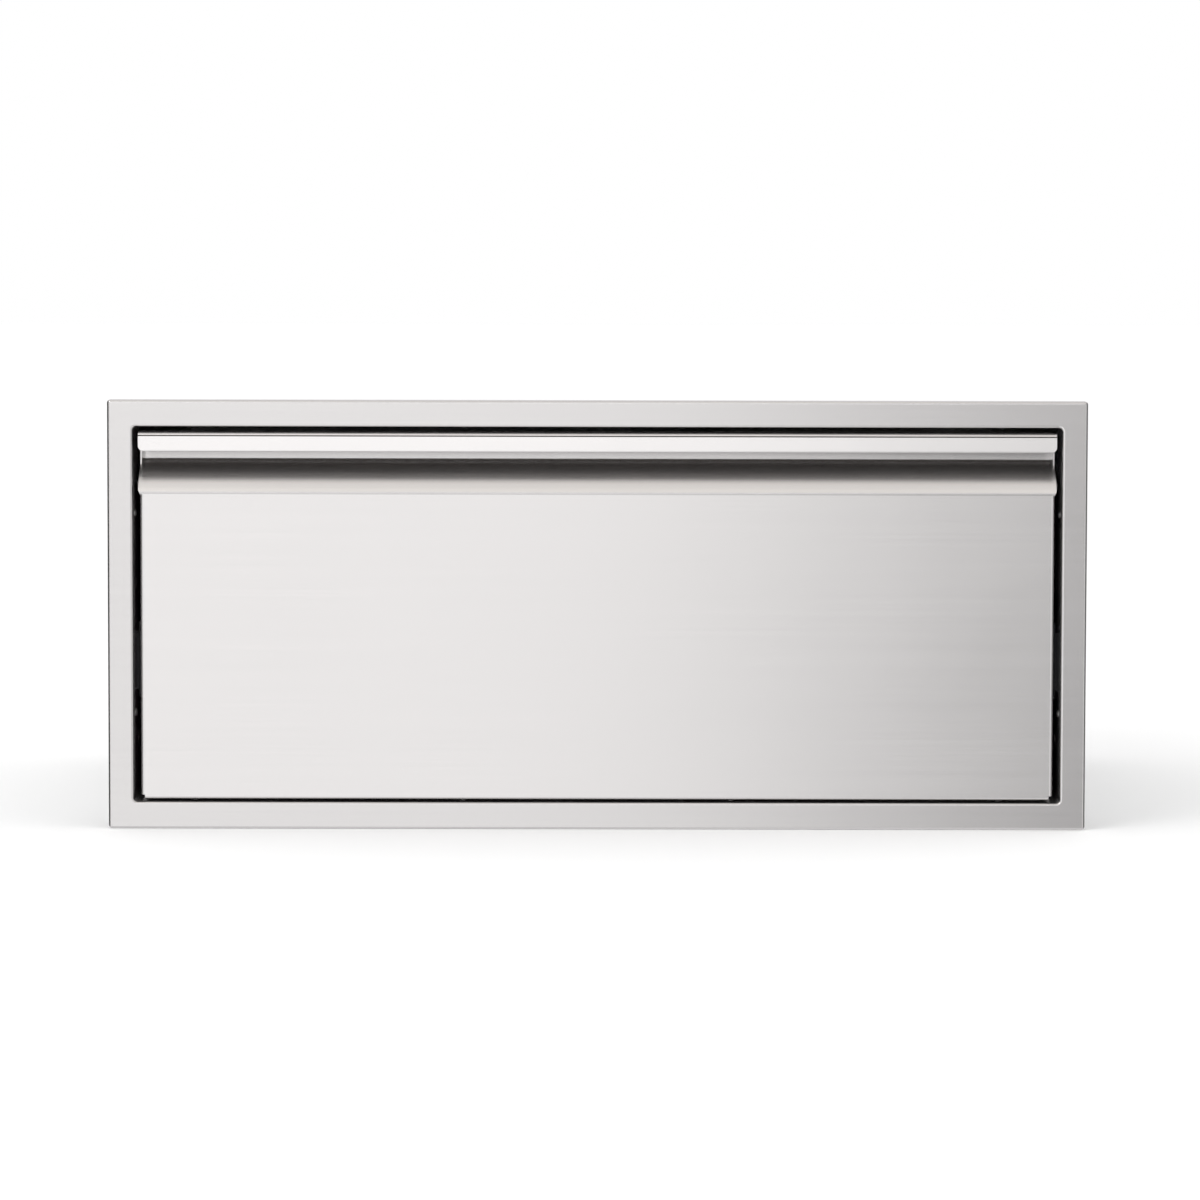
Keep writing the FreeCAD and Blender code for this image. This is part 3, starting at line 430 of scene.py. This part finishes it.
def seat_of(points):
    """Seat point, direction of the head and sizes of one turned fastener."""
    low, high = box_of(points)
    size = high - low
    middle = (low + high) / 2
    axis = min(range(3), key=lambda number: abs(size[(number + 1) % 3] - size[(number + 2) % 3]))
    sides = [number for number in range(3) if number != axis]

    def reach(point):
        return math.hypot(*(point[number] - middle[number] for number in sides))

    head_radius = max(reach(point) for point in points)
    head_heights = [point[axis] for point in points if reach(point) > head_radius * RIM_SHARE]
    way = 1 if sum(head_heights) / len(head_heights) > middle[axis] else -1
    seat_height = min(head_heights) if way > 0 else max(head_heights)
    head_end = high[axis] if way > 0 else low[axis]
    tail_end = low[axis] if way > 0 else high[axis]
    seat = middle.copy()
    seat[axis] = seat_height
    facing = Vector((0, 0, 0))
    facing[axis] = way
    tail = [reach(point) for point in points if abs(point[axis] - tail_end) < SAME_PLACE]
    return {
        "seat": seat, "facing": facing,
        "Head Radius": head_radius, "Head Height": abs(head_end - seat_height),
        "Shank Radius": max(tail), "Shank Length": abs(seat_height - tail_end),
    }


RIVETED = ("jamb_rivets", "drawer_box_rivets", "lever_pivots")
SCREWED = ("front_screws", "cabinet_rail_screws", "drawer_rail_screws")
seats = {name: [seat_of(points) for points in solids_of(name)] for name in RIVETED + SCREWED}
for name, found in seats.items():
    print(name, len(found), "head radius", round(found[0]["Head Radius"] * 1000, 2), "mm")

# %% [markdown]
# ## Rivets and screws from one growing tool
# A turned head can be grown from a disc: each step lifts the top face by a share of the height and
# scales it. The Extrude Mesh and Scale Elements nodes do that. A blind rivet ends in a small sunk ring
# where its mandrel broke off. A pan head screw gets a cross recess, cut with a boolean. The tree then
# sets one copy on every seat, turned so that the head points along the stored direction.

# %% Helpers for geometry trees
FASTENER_INPUTS = [
    ("Geometry", "NodeSocketGeometry", None), ("Head Radius", "NodeSocketFloat", 0.003),
    ("Head Height", "NodeSocketFloat", 0.0012), ("Shank Radius", "NodeSocketFloat", 0.0016),
    ("Shank Length", "NodeSocketFloat", 0.002), ("Material", "NodeSocketMaterial", None),
]
GEOMETRY_OUTPUT = [("Geometry", "NodeSocketGeometry")]
RIM_POINTS = 28


def times(tree, size, share):
    return put(tree, "ShaderNodeMath", {0: size, 1: share}, operation="MULTIPLY").outputs[0]


def grow(tree, state, rise, scale):
    """Lift the current top face by rise and scale it; state is (mesh, selection of the top face)."""
    mesh, top = state
    lifted = put(tree, "GeometryNodeExtrudeMesh", {"Mesh": mesh, "Offset Scale": rise})
    if top is not None:
        tree.links.new(top, lifted.inputs["Selection"])
    scaled = put(tree, "GeometryNodeScaleElements", {
        "Geometry": lifted.outputs["Mesh"], "Selection": lifted.outputs["Top"], "Scale": scale,
    })
    return scaled.outputs[0], lifted.outputs["Top"]


def shank_and_flange(tree, sizes):
    """A closed round tail up to the seat, then a flat ring out to the edge of the head."""
    disc = put(tree, "GeometryNodeMeshCircle", {"Vertices": RIM_POINTS, "Radius": sizes["Shank Radius"]},
               fill_type="NGON")
    tail_end = put(tree, "GeometryNodeFlipFaces", {"Mesh": disc.outputs[0]})
    state = grow(tree, (disc.outputs[0], None), sizes["Shank Length"], 1.0)
    widen = put(tree, "ShaderNodeMath", {0: sizes["Head Radius"], 1: sizes["Shank Radius"]},
                operation="DIVIDE")
    state = grow(tree, state, 0.0, widen.outputs[0])
    return state, tail_end.outputs[0]


def closed(tree, mesh, tail_end):
    """Join the head and its tail into one closed shape."""
    joined = put(tree, "GeometryNodeJoinGeometry")
    for part in (mesh, tail_end):
        tree.links.new(part, joined.inputs[0])
    welded = put(tree, "GeometryNodeMergeByDistance", {"Geometry": joined.outputs[0], "Distance": SAME_PLACE})
    return welded.outputs[0]


def set_seated(tree, sizes, result, shape):
    """Move the seat of a shape to the origin and set one copy of it on each point."""
    drop = put(tree, "ShaderNodeCombineXYZ", {"Z": times(tree, sizes["Shank Length"], -1.0)})
    seated = put(tree, "GeometryNodeTransform", {"Geometry": shape, "Translation": drop.outputs[0]})
    set_copies(tree, sizes, result, seated.outputs[0])


def set_copies(tree, sizes, result, shape):
    """Set one copy on each point, turned along its stored direction, and give it the material."""
    direction = put(tree, "GeometryNodeInputNamedAttribute", {"Name": "facing"}, data_type="FLOAT_VECTOR")
    turned = put(tree, "FunctionNodeAlignRotationToVector", {"Vector": direction.outputs[0]}, axis="Z")
    copies = put(tree, "GeometryNodeInstanceOnPoints", {
        "Points": sizes["Geometry"], "Instance": shape, "Rotation": turned.outputs[0],
    })
    real = put(tree, "GeometryNodeRealizeInstances", {"Geometry": copies.outputs[0]})
    finished = put(tree, "GeometryNodeSetMaterial", {
        "Geometry": real.outputs[0], "Material": sizes["Material"],
    })
    tree.links.new(finished.outputs[0], result.inputs["Geometry"])


print("geometry helpers ready")

# %% Geometry tree of a blind rivet
blind_rivet, rivet_sizes, rivet_result = new_group(
    "blind_rivet", "GeometryNodeTree", FASTENER_INPUTS, GEOMETRY_OUTPUT)
state, tail = shank_and_flange(blind_rivet, rivet_sizes)
RIVET_DOME = ((0.22, 0.985), (0.30, 0.93), (0.26, 0.82), (0.16, 0.68), (0.06, 0.52))
MANDREL_RING = ((0.0, 0.9), (-0.35, 0.92), (0.0, 0.7), (0.2, 0.85))
for share, scale in RIVET_DOME + MANDREL_RING:
    state = grow(blind_rivet, state, times(blind_rivet, rivet_sizes["Head Height"], share), scale)
set_seated(blind_rivet, rivet_sizes, rivet_result, closed(blind_rivet, state[0], tail))
print("geometry tree:", blind_rivet.name)

# %% Geometry tree of a pan head screw with a cross recess
cross_screw, screw_sizes, screw_result = new_group(
    "cross_screw", "GeometryNodeTree", FASTENER_INPUTS, GEOMETRY_OUTPUT)
state, tail = shank_and_flange(cross_screw, screw_sizes)
PAN_HEAD = ((0.42, 0.995), (0.28, 0.95), (0.20, 0.85), (0.10, 0.6))
for share, scale in PAN_HEAD:
    state = grow(cross_screw, state, times(cross_screw, screw_sizes["Head Height"], share), scale)
slot_width = times(cross_screw, screw_sizes["Head Radius"], 0.26)
slot_length = times(cross_screw, screw_sizes["Head Radius"], 1.0)
slot_depth = times(cross_screw, screw_sizes["Head Height"], 1.3)
recess_level = put(cross_screw, "ShaderNodeMath", {
    0: screw_sizes["Head Height"], 1: 1.0, 2: screw_sizes["Shank Length"],
}, operation="MULTIPLY_ADD")
recess_place = put(cross_screw, "ShaderNodeCombineXYZ", {"Z": recess_level.outputs[0]})
cross = put(cross_screw, "GeometryNodeJoinGeometry")
for sides in ((slot_width, slot_length), (slot_length, slot_width)):
    size = put(cross_screw, "ShaderNodeCombineXYZ", {"X": sides[0], "Y": sides[1], "Z": slot_depth})
    blade = put(cross_screw, "GeometryNodeMeshCube", {"Size": size.outputs[0]})
    blade_place = put(cross_screw, "GeometryNodeTransform", {
        "Geometry": blade.outputs[0], "Translation": recess_place.outputs[0],
    })
    cross_screw.links.new(blade_place.outputs[0], cross.inputs[0])
cut = put(cross_screw, "GeometryNodeMeshBoolean", {
    "Mesh 1": closed(cross_screw, state[0], tail), "Mesh 2": cross.outputs[0],
}, operation="DIFFERENCE")
set_seated(cross_screw, screw_sizes, screw_result, cut.outputs[0])
print("geometry tree:", cross_screw.name)

# %% [markdown]
# ## Set the fasteners on their seats
# Each group of fasteners starts as a bare cloud of points, one on each seat, with the direction of the
# head stored beside it. The tree turns the cloud into finished fasteners, the result is kept as a plain
# mesh and the modifier goes. The new piece stands for the plain node and moves with the same body.

# %% Make the fastener pieces
bodies = frame["record"]["behaviour"]["bodies"]
body_of_node = {name: body for body, members in bodies.items() for name in members}


def grown_piece(name, tree, points, directions, values, sharp_degrees=35):
    """Run a geometry tree on a cloud of points and keep the result as a plain mesh object."""
    cloud = bpy.data.meshes.new(name)
    cloud.from_pydata(points, [], [])
    stored = cloud.attributes.new("facing", "FLOAT_VECTOR", "POINT")
    stored.data.foreach_set("vector", [part for direction in directions for part in direction])
    piece = bpy.data.objects.new(name, cloud)
    scene.collection.objects.link(piece)
    modifier = piece.modifiers.new("grow", "NODES")
    modifier.node_group = tree
    for item in tree.interface.items_tree:
        if item.item_type == "SOCKET" and item.in_out == "INPUT" and item.name in values:
            modifier[item.identifier] = values[item.name]
    made = bpy.data.meshes.new_from_object(piece.evaluated_get(bpy.context.evaluated_depsgraph_get()))
    piece.modifiers.clear()
    piece.data = made
    made.name = name
    made.shade_smooth()
    made.set_sharp_from_angle(angle=math.radians(sharp_degrees))
    return piece


def stand_for(piece, node_name):
    """Let a piece replace a node and move with the node's body."""
    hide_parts(node_name)
    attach(piece, body_of_node[node_name])


for node_name, found in seats.items():
    tree = blind_rivet if node_name in RIVETED else cross_screw
    values = {key: found[0][key] for key in ("Head Radius", "Head Height", "Shank Radius", "Shank Length")}
    values["Material"] = finishes["fastener_steel"]
    piece = grown_piece(f"{node_name}_detailed", tree, [item["seat"] for item in found],
                        [item["facing"] for item in found], values)
    stand_for(piece, node_name)
    print(piece.name, len(found), "fasteners,", len(piece.data.polygons), "faces")

# %% [markdown]
# ## Bearing balls
# The slides run on rows of small hardened balls that show in the round holes of their cages when the
# drawer is open. A ball mirrors everything round it, so even small facets show. An ico sphere has no
# poles and spreads its faces evenly, and one tree sets it on the middle of every ball of the
# construction model.

# %% Geometry tree of a ball and the four sets
BALL_INPUTS = [
    ("Geometry", "NodeSocketGeometry", None), ("Radius", "NodeSocketFloat", 0.0016),
    ("Material", "NodeSocketMaterial", None),
]
bearing_ball, ball_sizes, ball_result = new_group(
    "bearing_ball", "GeometryNodeTree", BALL_INPUTS, GEOMETRY_OUTPUT)
ball = put(bearing_ball, "GeometryNodeMeshIcoSphere", {"Radius": ball_sizes["Radius"], "Subdivisions": 4})
set_copies(bearing_ball, ball_sizes, ball_result, ball.outputs[0])
for node_name in ("left_outer_balls", "left_inner_balls", "right_outer_balls", "right_inner_balls"):
    boxes = [box_of(points) for points in solids_of(node_name)]
    middles = [(low + high) / 2 for low, high in boxes]
    values = {"Radius": max(boxes[0][1] - boxes[0][0]) / 2, "Material": finishes["bearing_steel"]}
    piece = grown_piece(f"{node_name}_polished", bearing_ball, middles, [(0, 0, 1)] * len(middles), values,
                        sharp_degrees=180)
    stand_for(piece, node_name)
    print(piece.name, len(middles), "balls of radius", round(values["Radius"] * 1000, 2), "mm")

# %% [markdown]
# ## Spot welds on the housing
# The folded edges of the top, bottom and back sheets lap over the sides and are spot welded there. The
# electrodes press a shallow round dimple with a raised rim and leave a faint straw-coloured tint. The
# laps are straight, so rows of points with an even spacing give the places, and the same growing steps
# as for the rivets give the dimple.

# %% Geometry tree of a spot weld and its rows
finishes["weld_mark"] = marked_metal(
    "weld_mark", (0.36, 0.34, 0.305), (0.49, 0.47, 0.435), roughness=0.36, marks_along=ALONG_Y,
    fine_per_metre=900, anisotropy=0.0, relief=0.05, edge_radius=0.0001)
spot_weld, weld_sizes, weld_result = new_group(
    "spot_weld", "GeometryNodeTree", FASTENER_INPUTS, GEOMETRY_OUTPUT)
state, tail = shank_and_flange(spot_weld, weld_sizes)
WELD_DIMPLE = ((0.7, 0.95), (0.3, 0.9), (0.0, 0.92), (-0.4, 0.86), (-0.35, 0.7), (-0.1, 0.4))
for share, scale in WELD_DIMPLE:
    state = grow(spot_weld, state, times(spot_weld, weld_sizes["Head Height"], share), scale)
set_seated(spot_weld, weld_sizes, weld_result, closed(spot_weld, state[0], tail))


def even_row(first, last, pitch):
    count = max(1, round((last - first) / pitch))
    return [first + (last - first) * number / count for number in range(count + 1)]


WELD_PITCH = 0.07
WELD_EDGE = 0.03
back_low, back_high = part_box("housing_back")
top_low, top_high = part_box("housing_top")
side_low, side_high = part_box("housing_right_side")
cap_y = (back_low.y + back_high.y) / 2
lap_z = (top_low.z + side_high.z) / 2
welds = []
for sign in (-1, 1):
    outwards = (sign, 0, 0)
    for y in even_row(side_low.y + 2 * WELD_EDGE, back_low.y - WELD_EDGE, WELD_PITCH):
        welds += [((sign * top_high.x, y, z), outwards) for z in (-lap_z, lap_z)]
    for z in even_row(-top_low.z + WELD_EDGE, top_low.z - WELD_EDGE, WELD_PITCH):
        welds.append(((sign * back_high.x, cap_y, z), outwards))
    for x in even_row(back_low.x + WELD_EDGE, back_high.x - WELD_EDGE, WELD_PITCH):
        welds.append(((x, cap_y, sign * back_high.z), (0, 0, sign)))
weld_values = {
    "Head Radius": 0.0026, "Head Height": 0.00022, "Shank Radius": 0.0015, "Shank Length": 0.0004,
    "Material": finishes["weld_mark"],
}
weld_piece = grown_piece("housing_spot_welds", spot_weld, [place for place, _ in welds],
                         [outwards for _, outwards in welds], weld_values)
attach(weld_piece, "housing")
print(weld_piece.name, len(welds), "welds,", len(weld_piece.data.polygons), "faces")

# %% [markdown]
# ## The studio
# The drawer was photographed on plain white. The floor is pale and lies just under the flange, so that
# the contact shadow stays, and the world is white to the camera, to metal and to anything see-through.
# Polished metal only shows its form when it has something to mirror. A large graduated light wall
# stands behind the camera, brighter on the left, and a bright bank hangs above the front, which lights
# the ramp of the finger pull. A large dark card stands at each side and a small one close to each outer
# edge, and they draw the thin dark line along the outer bends. The wall, the bank and the cards are
# seen only in reflections.

# %% White world
world = bpy.data.worlds.new("white_studio")
scene.world = world
world.use_nodes = True
sky = world.node_tree
sky.nodes.clear()
ray = put(sky, "ShaderNodeLightPath").outputs
seen = put(sky, "ShaderNodeMath", {0: ray["Is Camera Ray"], 1: ray["Is Glossy Ray"]}, operation="MAXIMUM")
seen_too = put(sky, "ShaderNodeMath", {0: seen.outputs[0], 1: ray["Is Transmission Ray"]},
               operation="MAXIMUM")
ambient = put(sky, "ShaderNodeBackground", {"Color": (1, 1, 1, 1), "Strength": 1.06})
white = put(sky, "ShaderNodeBackground", {"Color": (1, 1, 1, 1), "Strength": 1.0})
mixed = put(sky, "ShaderNodeMixShader", {
    0: seen_too.outputs[0], 1: ambient.outputs[0], 2: white.outputs[0],
})
put(sky, "ShaderNodeOutputWorld", {"Surface": mixed.outputs[0]})
print("world:", world.name)


# %% Helpers for cards that glow
def flat_card(name, corners, material):
    mesh = bpy.data.meshes.new(name)
    mesh.from_pydata(corners, [], [(0, 1, 2, 3)])
    mesh.materials.append(material)
    card = bpy.data.objects.new(name, mesh)
    scene.collection.objects.link(card)
    card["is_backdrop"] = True
    return card


def only_in_reflections(card):
    card.visible_camera = False
    card.visible_diffuse = False
    card.visible_shadow = False
    card.visible_volume_scatter = False


def graded(tree, axis, stops):
    """A strength that changes smoothly along one axis; stops are (metres, strength)."""
    place = put(tree, "ShaderNodeTexCoord").outputs["Object"]
    along = put(tree, "ShaderNodeSeparateXYZ", {0: place}).outputs[axis]
    first, last = stops[0][0], stops[-1][0]
    share = put(tree, "ShaderNodeMapRange", {"Value": along, "From Min": first, "From Max": last})
    ramp = put(tree, "ShaderNodeFloatCurve", {"Value": share.outputs[0]})
    peak = max(strength for _, strength in stops)
    curve = ramp.mapping.curves[0]
    for number, (metres, strength) in enumerate(stops):
        spot = ((metres - first) / (last - first), strength / peak)
        if number in (0, len(stops) - 1):
            curve.points[0 if number == 0 else -1].location = spot
        else:
            curve.points.new(*spot)
    ramp.mapping.update()
    return put(tree, "ShaderNodeMath", {0: ramp.outputs[0], 1: peak}, operation="MULTIPLY").outputs[0]


def glowing(name, axis, stops, other_stops=((-1, 1), (1, 1)), other_axis=2, tint=(1, 1, 1)):
    """A tinted emission graded along one axis and, by a second list of stops, along another."""
    material = bpy.data.materials.new(name)
    material.use_nodes = True
    tree = material.node_tree
    tree.nodes.clear()
    strength = put(tree, "ShaderNodeMath", {
        0: graded(tree, axis, stops), 1: graded(tree, other_axis, other_stops),
    }, operation="MULTIPLY")
    glow = put(tree, "ShaderNodeEmission", {"Color": (*tint, 1), "Strength": strength.outputs[0]})
    put(tree, "ShaderNodeOutputMaterial", {"Surface": glow.outputs[0]})
    return material


print("card helpers ready")

# %% Floor, light wall, overhead bank and side cards
FLOOR_GAP = 0.0004
FLOOR_SIDE, FLOOR_FRONT, FLOOR_BACK = 8, -1.7, 30
WALL_SIDE, WALL_Y = 6, -6
WALL_FOOT, WALL_SPLIT, WALL_TOP = -6, 0.5, 5
BANK_SIDE, BANK_FRONT, BANK_BACK, BANK_HEIGHT = 3, -3.0, -0.2, 2.6
pale = bpy.data.materials.new("pale_floor")
pale.use_nodes = True
pale_surface = pale.node_tree.nodes["Principled BSDF"]
pale_surface.inputs["Base Color"].default_value = (0.97, 0.97, 0.97, 1)
pale_surface.inputs["Roughness"].default_value = 0.9
floor_level = cad_low.z - FLOOR_GAP
floor = flat_card("floor", [
    (-FLOOR_SIDE, FLOOR_FRONT, floor_level), (FLOOR_SIDE, FLOOR_FRONT, floor_level),
    (FLOOR_SIDE, FLOOR_BACK, floor_level), (-FLOOR_SIDE, FLOOR_BACK, floor_level),
], pale)
floor.visible_glossy = False


def wall_card(name, low, high, glow):
    return flat_card(name, [
        (-WALL_SIDE, WALL_Y, low), (WALL_SIDE, WALL_Y, low),
        (WALL_SIDE, WALL_Y, high), (-WALL_SIDE, WALL_Y, high),
    ], glow)


wall_glow = glowing(
    "graduated_light", 0,
    [(-6, 1.15), (-0.85, 1.15), (0.0, 1.12), (0.4, 0.9), (0.9, 0.5), (1.4, 0.4), (2.6, 0.8), (6, 1.0)],
    [(-6, 1.2), (-1.2, 1.18), (-0.6, 1.06), (0.1, 0.98), (0.5, 0.98)])
light_wall = wall_card("light_wall", WALL_FOOT, WALL_SPLIT, wall_glow)
high_glow = glowing(
    "high_light", 0, [(-6, 1.0), (-3, 1.4), (-0.85, 1.94), (0.0, 1.94), (0.9, 1.61), (2.0, 1.15), (6, 1.0)],
    [(0.5, 1.0), (1.8, 1.0), (2.6, 0.55), (5, 0.5)])
high_wall = wall_card("high_wall", WALL_SPLIT, WALL_TOP, high_glow)


def side_card(name, x, low, high, stops):
    """An upright card beside the drawer, graded along Y from its front edge to its back edge."""
    front, back = stops[0][0], stops[-1][0]
    corners = [(x, front, low), (x, back, low), (x, back, high), (x, front, high)]
    return flat_card(name, corners, glowing(f"{name}_glow", 1, stops))


side_cards = [
    side_card("left_card", -2.2, -0.45, 0.6, [(-0.55, 0.02), (0.0, 0.02), (0.9, 0.06), (6.0, 0.25)]),
    side_card("right_card", 2.2, -0.45, 0.6, [(-0.55, 0.15), (0.0, 0.2), (0.9, 0.3), (6.0, 0.5)]),
    side_card("left_edge_card", -0.42, -0.2, 0.2, [(-0.04, 0.02), (0.03, 0.02)]),
    side_card("right_edge_card", 0.42, -0.2, 0.2, [(-0.04, 0.15), (0.03, 0.15)]),
]
bank_glow = glowing(
    "overhead_light", 0, [(-3, 1.2), (0, 1.15), (3, 1.0)],
    [(-3.0, 1.12), (-1.8, 1.08), (-1.1, 0.92), (-0.2, 0.7)], 1, tint=(1, 0.97, 0.93))
overhead_bank = flat_card("overhead_bank", [
    (-BANK_SIDE, BANK_FRONT, BANK_HEIGHT), (BANK_SIDE, BANK_FRONT, BANK_HEIGHT),
    (BANK_SIDE, BANK_BACK, BANK_HEIGHT), (-BANK_SIDE, BANK_BACK, BANK_HEIGHT),
], bank_glow)
for card in (light_wall, high_wall, overhead_bank, *side_cards):
    only_in_reflections(card)
print("stage: floor, light wall, overhead bank and", len(side_cards), "side cards")


# %% Soft lamps
def softbox(name, place, aim, width, height, watts):
    lamp = bpy.data.lights.new(name, "AREA")
    lamp.shape = "RECTANGLE"
    lamp.size = width
    lamp.size_y = height
    lamp.energy = watts
    holder = bpy.data.objects.new(name, lamp)
    holder.location = place
    holder.rotation_mode = "QUATERNION"
    holder.rotation_quaternion = (Vector(aim) - Vector(place)).to_track_quat("-Z", "Y")
    scene.collection.objects.link(holder)
    return holder


key = softbox("key_softbox", place=(-1.6, -2.0, 2.4), aim=(0, 0.1, 0), width=1.8, height=1.8, watts=22)
print("lamp:", key.name, key.data.energy, "W")

# %% [markdown]
# ## The camera
# The drawer was photographed almost square on, from a little above, with a long lens. Straight edges of
# the flange and of the opening, measured in the picture, give the lens and the place of the camera.

# %% Camera
CAMERA_AIM = Vector((0.0022, 0.0, 0.0112))
CAMERA_DISTANCE = 3.903
CAMERA_ELEVATION = math.radians(3.9)
CAMERA_AZIMUTH = math.radians(-0.05)
CAMERA_ROLL = math.radians(0.122)
LENS_MM = 150
SENSOR_MM = 36
SIGHT_LIMIT = 200
lens = bpy.data.cameras.new("camera")
lens.lens = LENS_MM
lens.sensor_width = SENSOR_MM
lens.clip_end = SIGHT_LIMIT
camera = bpy.data.objects.new("camera", lens)
away = Vector((
    math.sin(CAMERA_AZIMUTH) * math.cos(CAMERA_ELEVATION),
    -math.cos(CAMERA_AZIMUTH) * math.cos(CAMERA_ELEVATION),
    math.sin(CAMERA_ELEVATION),
))
camera.location = CAMERA_AIM + away * CAMERA_DISTANCE
camera.rotation_mode = "QUATERNION"
camera.rotation_quaternion = (-away).to_track_quat("-Z", "Y") @ Quaternion((0, 0, 1), CAMERA_ROLL)
scene.collection.objects.link(camera)
scene.camera = camera
scene.view_settings.view_transform = "Standard"
print("camera at", [round(part, 3) for part in camera.location])

# %% [markdown]
# ## Keep the size
# The dressed drawer is meant to stay in the box of the construction model. Both boxes are printed, so
# that they can be compared.

# %% Write both boxes and finish
visual_low, visual_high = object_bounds()
boxes = {"cad": [list(cad_low), list(cad_high)], "visual": [list(visual_low), list(visual_high)]}
print("boxes:", boxes)
